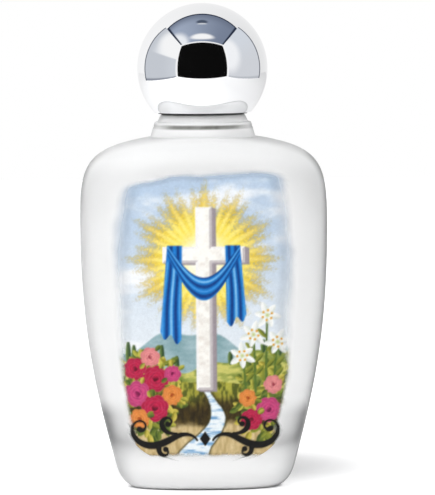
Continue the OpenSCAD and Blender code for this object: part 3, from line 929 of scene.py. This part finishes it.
def printed_at(points):
    """Colour and ink of the print at these points of the front, as linear values."""
    cell = 2  # dots along the side of a square that is averaged
    rows, columns = DOT_INK.shape[0] // cell, DOT_INK.shape[1] // cell
    dots = np.concatenate([DOT_RGB * DOT_INK[..., None], DOT_INK[..., None]], -1)
    dots = dots.reshape(rows, cell, columns, cell, 4).mean((1, 3))
    u = np.clip((points[:, 0] - PRINT_LEFT) * DOTS_PER_MM / cell - 0.5, 0, columns - 1.001)
    v = np.clip((points[:, 2] - FILM_BOTTOM) * DOTS_PER_MM / cell - 0.5, 0, rows - 1.001)
    i, j = u.astype(int), v.astype(int)
    s, t = (u - i)[:, None], (v - j)[:, None]
    found = sampled(dots, i, j, s, t)
    ink = found[:, 3:]
    rgb = np.where(ink > 0.004, found[:, :3] / np.maximum(ink, 0.004), 1.0)
    return np.concatenate([linear(np.clip(rgb, 0, 1)), np.clip(ink, 0, 1)], 1)


def colour_points(piece, name, values):
    layer = piece.data.color_attributes.new(name, "FLOAT_COLOR", "POINT")
    layer.data.foreach_set("color", np.asarray(values, np.float32).ravel())


def build_pieces():
    rings, outside = bottle_rings()
    points, faces = skin(np.array(rings))
    inner = len(TURNS) * outside
    indices = [0] * inner + [1] * (len(faces) - inner)
    bottle = new_piece("flask", points, faces, [frosted_glass(), clear_glass()], indices)
    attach(bottle, "bottle")
    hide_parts("glass_bottle")

    paint_print()
    points, faces = film_shape()
    film = new_piece("front_print", points, faces, [printed_film()])
    colour_points(film, "print", printed_at(points))
    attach(film, "bottle")
    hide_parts("front_transfer")

    ball = new_piece("ball_shell", *skin(lathe(shell_profile(), BALL_COLUMNS)), [mirror_chrome()])
    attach(ball, "cap")
    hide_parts("cap_shell")

    liner = new_piece("seal_disc", *skin(lathe(liner_profile(), LINER_COLUMNS)), [seal_foam()])
    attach(liner, "liner")
    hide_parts("cap_liner")

    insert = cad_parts["cap_insert"]
    insert.data.materials.clear()
    insert.data.materials.append(dark_plastic())


build_pieces()


# The stage: a white floor in a light tent that is open towards the camera. The tent's cloth glows with the
# light and shade of the lit tent painted on it, but lights nothing itself. It shows in the chrome and in
# the glass alone. Its sizes are metres.
TENT_HALF, TENT_FRONT, TENT_TOP = 0.312, -0.323, 0.443
WALL_BACK, ROOF_BACK = 0.2, 0.143
PANEL_POINTS = 90
WHITE = (1.0, 1.0, 1.0)
# Soft oval patches of painted light and shade on the roof: colour, strength, middle and half sizes
ROOF_PATCHES = (
    (WHITE, 1.0, (0.0, -0.215), (0.135, 0.05)),
    ((0.95, 0.97, 1.0), 0.9, (-0.31, -0.22), (0.15, 0.17)),
    ((0.05, 0.07, 0.11), 0.9, (0.0, 0.0), (0.045, 0.03)),
    ((0.75, 0.78, 0.82), 0.8, (0.0, -0.028), (0.04, 0.011)),
)


def patch(a, b, middle, reach):
    return smooth(1.25, 0.6, np.hypot((a - middle[0]) / reach[0], (b - middle[1]) / reach[1]))


def roof_shade(x, y):
    colour = between((0.36, 0.42, 0.54), (0.2, 0.24, 0.33), smooth(-0.22, 0.24, x))
    colour = between(colour, (0.15, 0.18, 0.25), 0.85 * smooth(-0.02, 0.13, y))
    for other, strength, middle, reach in ROOF_PATCHES:
        colour = between(colour, other, strength * patch(x, y, middle, reach))
    colour = between(colour, WHITE, smooth(TENT_FRONT + 0.03, TENT_FRONT + 0.02, y))
    edge = np.maximum(smooth(TENT_HALF - 0.034, TENT_HALF - 0.022, np.abs(x)), smooth(0.114, 0.124, y))
    return between(colour, (0.02, 0.03, 0.06), edge * smooth(TENT_FRONT + 0.02, TENT_FRONT + 0.04, y))


def wall_edges(colour, dark, y, z):
    """Adds a side wall's dark lower edge, at a strength, its white front edge and its dark back edge."""
    colour = between(colour, (0.2, 0.22, 0.27), dark * smooth(0.02, 0.008, z))
    colour = between(colour, WHITE, smooth(TENT_FRONT + 0.045, TENT_FRONT + 0.03, y))
    return between(colour, (0.06, 0.07, 0.1), 0.9 * smooth(WALL_BACK - 0.03, WALL_BACK - 0.018, y))


def left_shade(y, z):
    lower = between((0.6, 0.63, 0.68), (0.66, 0.69, 0.74), smooth(-0.05, -0.3, y))
    upper = between((0.9, 0.92, 0.95), (0.6, 0.63, 0.68), smooth(-0.1, 0.15, y))
    upper = between(upper, WHITE, patch(y, z, (-0.18, 0.34), (0.25, 0.17)))
    fold = 0.21 - 0.06 * (y - TENT_FRONT)
    return wall_edges(between(lower, upper, smooth(-0.006, 0.012, z - fold)), 0.8, y, z)


def right_shade(y, z):
    colour = between((0.68, 0.7, 0.74), (0.7, 0.74, 0.8), smooth(0.1, 0.35, z))
    colour = between(colour, (0.96, 0.97, 0.99), patch(y, z, (-0.24, 0.27), (0.16, 0.22)))
    return wall_edges(colour, 0.35, y, z)


def level_place(z):
    def place(x, y):
        return x, y, np.full_like(x, z)

    return place


def wall_place(side, lift):
    """A side wall, whose lower edge sweeps up to the back by a lift."""
    def place(y, z):
        swept = lift * smooth(TENT_FRONT, WALL_BACK, y) * (1 - z / TENT_TOP)
        return np.full_like(y, side * TENT_HALF), y, z + swept

    return place


# The cloth glows with the light and shade painted on the panels
def tent_cloth():
    made, place = new_material("tent_cloth")
    cloth = add(place, "VertexColor", layer_name="cloth").outputs["Color"]
    return finish_material(made, add(place, "Emission", {"Color": cloth, "Strength": 1.0}))


def sheet(name, place, first, second, count, material):
    """A grid over two runs of values, from which place gives its points; with those values."""
    a, b = np.meshgrid(np.linspace(*first, count), np.linspace(*second, count))
    points = np.stack(place(a, b), -1).reshape(-1, 3)
    return new_piece(name, points / MM, grid_faces(count, count), [material]), a.ravel(), b.ravel()


def tent_panel(name, place, shade, first, second):
    panel, a, b = sheet(name, place, first, second, PANEL_POINTS, tent_cloth())
    rgb = shade(a, b)
    colour_points(panel, "cloth", np.concatenate([rgb, np.ones((len(rgb), 1))], 1))
    panel.visible_camera = panel.visible_diffuse = panel.visible_shadow = False
    panel.visible_transmission = False


def build_tent():
    wide, deep, high = (-TENT_HALF, TENT_HALF), (TENT_FRONT, WALL_BACK), (0.0, TENT_TOP)
    tent_panel("tent_roof", level_place(TENT_TOP), roof_shade, wide, (TENT_FRONT, ROOF_BACK))
    tent_panel("tent_left", wall_place(-1, 0.025), left_shade, deep, high)
    tent_panel("tent_right", wall_place(1, 0.035), right_shade, deep, high)


# The floor in metres: half its width, its back edge and its level; and the points along a side
FLOOR_HALF, FLOOR_BACK, FLOOR_Z, FLOOR_POINTS = 0.9, 1.5, -0.02 * MM, 25
# The paper's colour, and the darker colour of the contact shadow painted on it under the heel
FLOOR_COLOUR, CONTACT_SHADOW_COLOUR = (0.86, 0.86, 0.865, 1.0), (0.52, 0.52, 0.525, 1.0)
# Light that the floor adds of its own near the object and from this far off, in metres
FLOOR_GLOW, FAR_GLOW, GLOW_NEAR, GLOW_FAR = 0.45, 0.6, 0.06, 0.35
# The same seen through glass, and in a mirror near and far off, with the share left on the right as painted
# shade
GLASS_GLOW, MIRROR_GLOW, MIRROR_FAR_GLOW, MIRROR_END = 0.5, 0.27, 0.34, 1.0
MIRROR_RIGHT, RIGHT_START, RIGHT_END = 0.5, 0.02, 0.15
# The floor adds none under the heel, a painted contact shadow, out to an oval of these half sizes in metres
HEEL_HALF_W, HEEL_HALF_D, HEEL_SOFT = 0.0163, 0.0101, 1.14
# It adds little in a painted soft shadow: its middle and half sizes, and the share of them that is darkest
SHADE_MIDDLE, SHADE_HALF_W, SHADE_HALF_D, SHADE_DARK = (0.007, 0.05, 0.0), 0.042, 0.056, 0.3


def vector_node(operation, first, *more):
    made = add(first, "VectorMath", dict(enumerate((first, *more))), operation=operation)
    return made.outputs["Value" if operation in ("LENGTH", "DOT_PRODUCT") else "Vector"]


def oval_reach(place, middle, half_w, half_d):
    """How far a place is from the middle of an oval, in shares of its half sizes."""
    off = vector_node("SUBTRACT", place, middle)
    return vector_node("LENGTH", vector_node("MULTIPLY", off, (1 / half_w, 1 / half_d, 0.0)))


def white_floor():
    made, place = new_material("white_floor")
    path = add(place, "LightPath").outputs
    away = vector_node("LENGTH", place)
    heel = oval_reach(place, (0.0, 0.0, 0.0), HEEL_HALF_W, HEEL_HALF_D)
    shade = oval_reach(place, SHADE_MIDDLE, SHADE_HALF_W, SHADE_HALF_D)
    painted_contact_shadow = ranged(heel, 1.0, HEEL_SOFT, 1.0, 0.0, True)
    paper = add(place, "BsdfDiffuse", {"Color": mixed(painted_contact_shadow, FLOOR_COLOUR, CONTACT_SHADOW_COLOUR)})
    glow = ranged(away, GLOW_NEAR, GLOW_FAR, FLOOR_GLOW, FAR_GLOW)
    glow = times(glow, ranged(heel, 1.0, HEEL_SOFT, 0.0, 1.0, True))
    glow = times(glow, ranged(shade, SHADE_DARK, 1.0, 0.0, 1.0, True))
    right = ranged(axes_of(place)["X"], RIGHT_START, RIGHT_END, 1.0, MIRROR_RIGHT)
    shine = times(ranged(away, GLOW_FAR, MIRROR_END, MIRROR_GLOW, MIRROR_FAR_GLOW), right)
    strength = times(path["Is Camera Ray"], glow)
    for ray, level in (("Is Transmission Ray", GLASS_GLOW), ("Is Glossy Ray", shine)):
        strength = math_node("ADD", strength, times(path[ray], level))
    light = add(place, "Emission", {"Color": (*WHITE, 1.0), "Strength": strength})
    return finish_material(made, add(place, "AddShader", {0: paper.outputs[0], 1: light.outputs[0]}))


def build_floor():
    wide, deep = (-FLOOR_HALF, FLOOR_HALF), (TENT_FRONT, FLOOR_BACK)
    floor = sheet("floor", level_place(FLOOR_Z), wide, deep, FLOOR_POINTS, white_floor())[0]


# Light of the sky on matt surfaces
SKY_LIGHT = 0.62
# What a mirror sees behind: its level, and how much that falls to the right; and the dark that it sees in
# front, which is full from this way on
MIRROR_BACK, MIRROR_FALL, MIRROR_DARK, MIRROR_SIDE = 0.925, -0.1, 0.004, -0.12
# What glass sees in front: its level, the way out of the dark, and how far the dark reaches round; and to
# the right: its level, and the ways between which it changes
FRONT_IN_GLASS, OUT_OF_DARK, DARK_ALL, DARK_NONE = 0.4, (-0.45, 0.893, 0.0), -0.8, -0.3
RIGHT_IN_GLASS, RIGHT_NONE, RIGHT_ALL = 0.62, 0.05, 0.5


def build_world():
    """White behind the object. A mirror or the glass sees the dark room through the tent's open front."""
    world = bpy.data.worlds.new("studio")
    bpy.context.scene.world = world
    world.use_nodes = True
    tree = world.node_tree
    tree.nodes.clear()
    path = add(tree, "LightPath").outputs
    way = add(tree, "TexCoord").outputs["Generated"]
    axes = axes_of(way)
    behind = math_node("ADD", times(axes["X"], MIRROR_FALL), MIRROR_BACK)
    mirror = times(ranged(axes["Y"], MIRROR_SIDE, 0.0, MIRROR_DARK, 1.0), behind)
    out = vector_node("DOT_PRODUCT", way, OUT_OF_DARK)
    front = ranged(out, DARK_ALL, DARK_NONE, FRONT_IN_GLASS, 1.0, True)
    glass = times(front, ranged(axes["X"], RIGHT_NONE, RIGHT_ALL, 1.0, RIGHT_IN_GLASS, True))
    strength = SKY_LIGHT
    for ray, level in (("Is Glossy Ray", mirror), ("Is Transmission Ray", glass), ("Is Camera Ray", 1.0)):
        strength = add(tree, "Mix", {0: path[ray], 2: strength, 3: level}, data_type="FLOAT").outputs[0]
    white = add(tree, "Background", {"Color": (*WHITE, 1.0), "Strength": strength})
    add(tree, "OutputWorld", {"Surface": white.outputs[0]})


# Soft lamps: where each hangs, its width, and its power in watts; and the place that all of them face
LAMPS = (
    ("lamp_left", (-0.42, -0.28, 0.52), 0.36, 1.7),
    ("lamp_right", (0.5, -0.34, 0.42), 0.4, 0.75),
    ("lamp_front", (0.0, -0.62, 0.75), 0.4, 1.75),
)
LAMP_TARGET = (0, 0, 0.05)


def build_lamps():
    for name, at, width, power in LAMPS:
        light = bpy.data.lights.new(name, "AREA")
        light.size = width
        light.energy = power
        lamp = new_object(name, light)
        lamp.location = at
        lamp.rotation_euler = (Vector(LAMP_TARGET) - Vector(at)).to_track_quat("-Z", "Y").to_euler()
        lamp.visible_glossy = False


# The photograph in pixels: its size, the bottle's axis and the ground; and what a pixel spans at the bottle
IMAGE_W, IMAGE_H, AXIS_PIXEL, GROUND_PIXEL = 435, 495, 203.8, 486.4
PIXEL = 0.2308 * MM
# Where the camera stands, in metres
CAMERA_DISTANCE, CAMERA_Z, CAMERA_ROLL = 1.23, 0.129, math.radians(-0.45)


def build_camera():
    target = Vector(((IMAGE_W / 2 - AXIS_PIXEL) * PIXEL, 0.0, (GROUND_PIXEL - IMAGE_H / 2) * PIXEL))
    place = Vector((target.x, -CAMERA_DISTANCE, CAMERA_Z))
    data = bpy.data.cameras.new("camera")
    data.lens = data.sensor_width * (target - place).length / (IMAGE_H * PIXEL)
    camera = new_object("camera", data)
    camera.location = place
    look = (target - place).to_track_quat("-Z", "Y")
    camera.rotation_euler = (look @ Quaternion((0, 0, 1), CAMERA_ROLL)).to_euler()
    bpy.context.scene.camera = camera


build_tent()
build_floor()
build_world()
build_lamps()
build_camera()
bpy.context.scene.view_settings.view_transform = "Standard"
